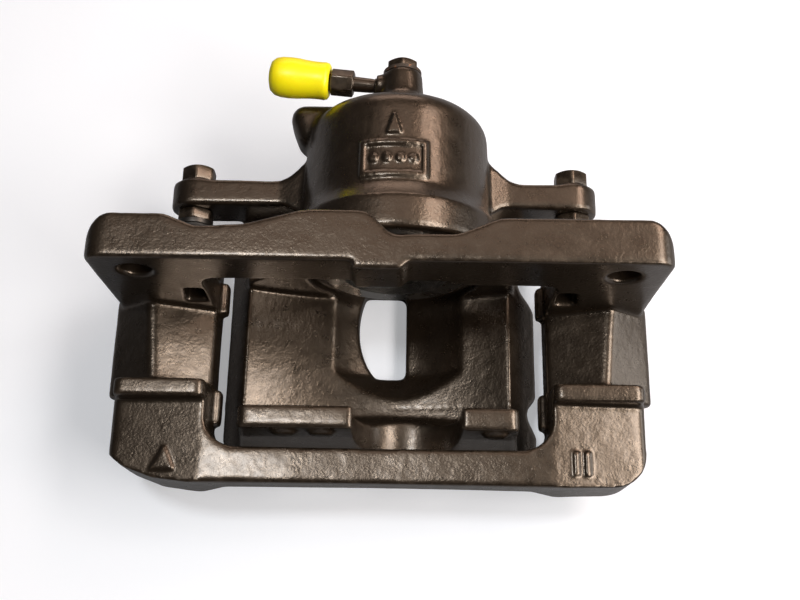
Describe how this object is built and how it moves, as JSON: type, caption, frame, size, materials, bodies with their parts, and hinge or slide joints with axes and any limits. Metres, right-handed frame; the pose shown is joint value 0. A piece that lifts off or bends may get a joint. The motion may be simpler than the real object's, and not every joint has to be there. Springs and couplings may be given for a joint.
{
  "type": "floating brake caliper with carrier bracket",
  "caption": "Floating single-piston disc brake caliper sliding on guide pins in its carrier bracket, with bleed screw, dust cap and plugged hose port.",
  "frame": {"origin": "midway between the two guide pins, on the brake disc's mid-plane, at the height of the piston's axis", "axes": "+X along the disc's travel, +Y inboard towards the closed end of the cylinder, +Z towards the wheel hub"},
  "size_m": [0.2, 0.161, 0.089],
  "materials": {
    "bracket": "satin black paint over rough cast iron",
    "caliper_body": "satin black paint over rough cast iron",
    "piston": "ground and plated steel",
    "piston_seal": "smooth",
    "piston_boot": "matte",
    "piston_boot_ring": "bright wire",
    "guide_pin_left": "plated steel, black paint on the hexagon",
    "guide_pin_right": "plated steel, black paint on the hexagon",
    "guide_pin_bush": "smooth",
    "guide_boot_left": "matte",
    "guide_boot_right": "matte",
    "guide_bolt_left": "satin black paint",
    "guide_bolt_right": "satin black paint",
    "hose_port_plug": "satin black paint",
    "hose_port_washer": "dull copper",
    "bleed_screw": "satin black paint",
    "bleed_cap": "smooth moulded yellow"
  },
  "bodies": {
    "bracket": {"bracket": "bracket", "guide_boot_left": "guide_boot_left", "guide_boot_right": "guide_boot_right"},
    "caliper": {"caliper_body": "caliper_body", "piston_seal": "piston_seal", "piston_boot": "piston_boot", "piston_boot_ring": "piston_boot_ring", "guide_pin_left": "guide_pin_left", "guide_pin_right": "guide_pin_right", "guide_pin_bush": "guide_pin_bush", "guide_bolt_left": "guide_bolt_left", "guide_bolt_right": "guide_bolt_right", "hose_port_plug": "hose_port_plug", "hose_port_washer": "hose_port_washer"},
    "piston": {"piston": "piston"},
    "bleed_screw": {"bleed_screw": "bleed_screw"},
    "bleed_cap": {"bleed_cap": "bleed_cap"}
  },
  "joints": [
    {"name": "caliper_slide", "type": "slide", "parent": "bracket", "child": "caliper", "axis": [0, 1, 0], "range_m": [-0.0015, 0.01], "deforming": ["guide_boot_left", "guide_boot_right"]},
    {"name": "piston_slide", "type": "slide", "parent": "caliper", "child": "piston", "axis": [0, -1, 0], "range_m": [0, 0.02], "deforming": ["piston_boot"]},
    {"name": "bleed_screw_turn", "type": "hinge", "parent": "caliper", "child": "bleed_screw", "pos_m": [0.0065, 0.0978, 0.016], "axis": [-0.9954, 0.0958, 0], "range_deg": [0, 270]},
    {"name": "bleed_cap_pull", "type": "slide", "parent": "bleed_screw", "child": "bleed_cap", "axis": [-0.9954, 0.0958, 0], "range_m": [0, 0.025]}
  ]
}
